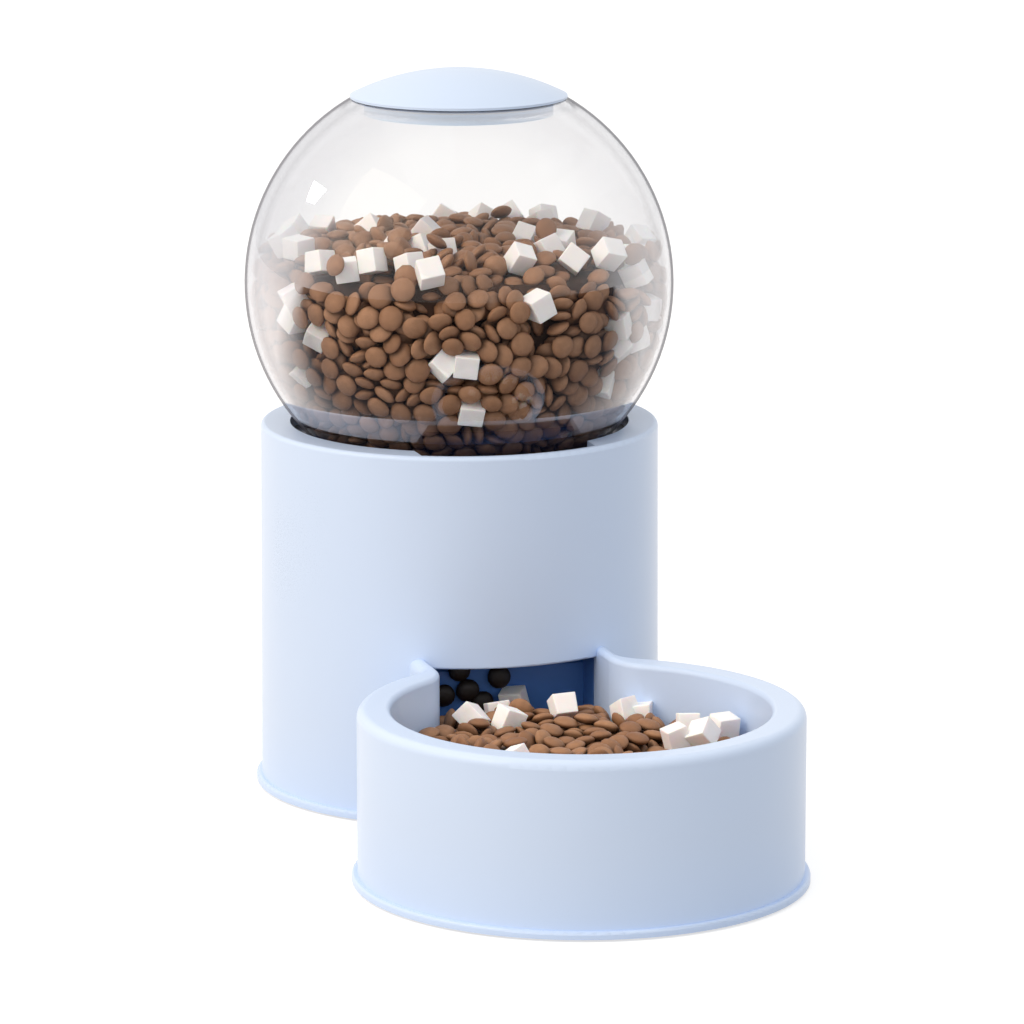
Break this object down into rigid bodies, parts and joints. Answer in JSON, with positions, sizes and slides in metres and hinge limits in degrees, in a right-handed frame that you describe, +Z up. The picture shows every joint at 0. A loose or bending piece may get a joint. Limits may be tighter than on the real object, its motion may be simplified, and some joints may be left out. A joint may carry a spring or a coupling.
{
  "type": "gravity pet feeder",
  "caption": "Free-standing dry food feeder: a clear ball-shaped hopper with a lift-off lid sits in a round tower, and food falls down a chute into the round bowl in front.",
  "frame": {"origin": "on the floor, under the middle of the whole outline", "axes": "+Z up, +Y from the bowl towards the tower, so the bowl is at the front (-Y); +X to the right as seen from the front"},
  "size_m": [0.1868, 0.3604, 0.3106],
  "materials": {
    "shell_plastic": "smooth moulded, satin to gloss",
    "lid_plastic": "smooth moulded, satin to gloss",
    "plate_plastic": "fine moulded grain",
    "chute_plastic": "smooth moulded",
    "clear_plastic": "clear, polished",
    "collar_plastic": "fine moulded grain",
    "gasket_rubber": "smooth, slightly glossy",
    "seal_rubber": "smooth, slightly milky",
    "pad_rubber": "matte",
    "screw_steel": "zinc plated"
  },
  "bodies": {
    "base": {"base_shell": "shell_plastic", "base_plate": "plate_plastic", "food_chute": "chute_plastic", "seat_gasket": "gasket_rubber", "chute_screws": "screw_steel", "tower_screws": "screw_steel", "bowl_screws": "screw_steel", "tower_pads": "pad_rubber", "bowl_pads": "pad_rubber"},
    "hopper": {"hopper_globe": "clear_plastic", "outlet_collar": "collar_plastic"},
    "lid": {"lid_dome": "lid_plastic", "lid_plug": "lid_plastic", "lid_seal": "seal_rubber"}
  },
  "joints": [
    {"name": "hopper_lift", "type": "slide", "parent": "base", "child": "hopper", "axis": [0, 0, 1], "range_m": [0, 0.12]},
    {"name": "lid_lift", "type": "slide", "parent": "hopper", "child": "lid", "axis": [0, 0, 1], "range_m": [0, 0.05]}
  ]
}
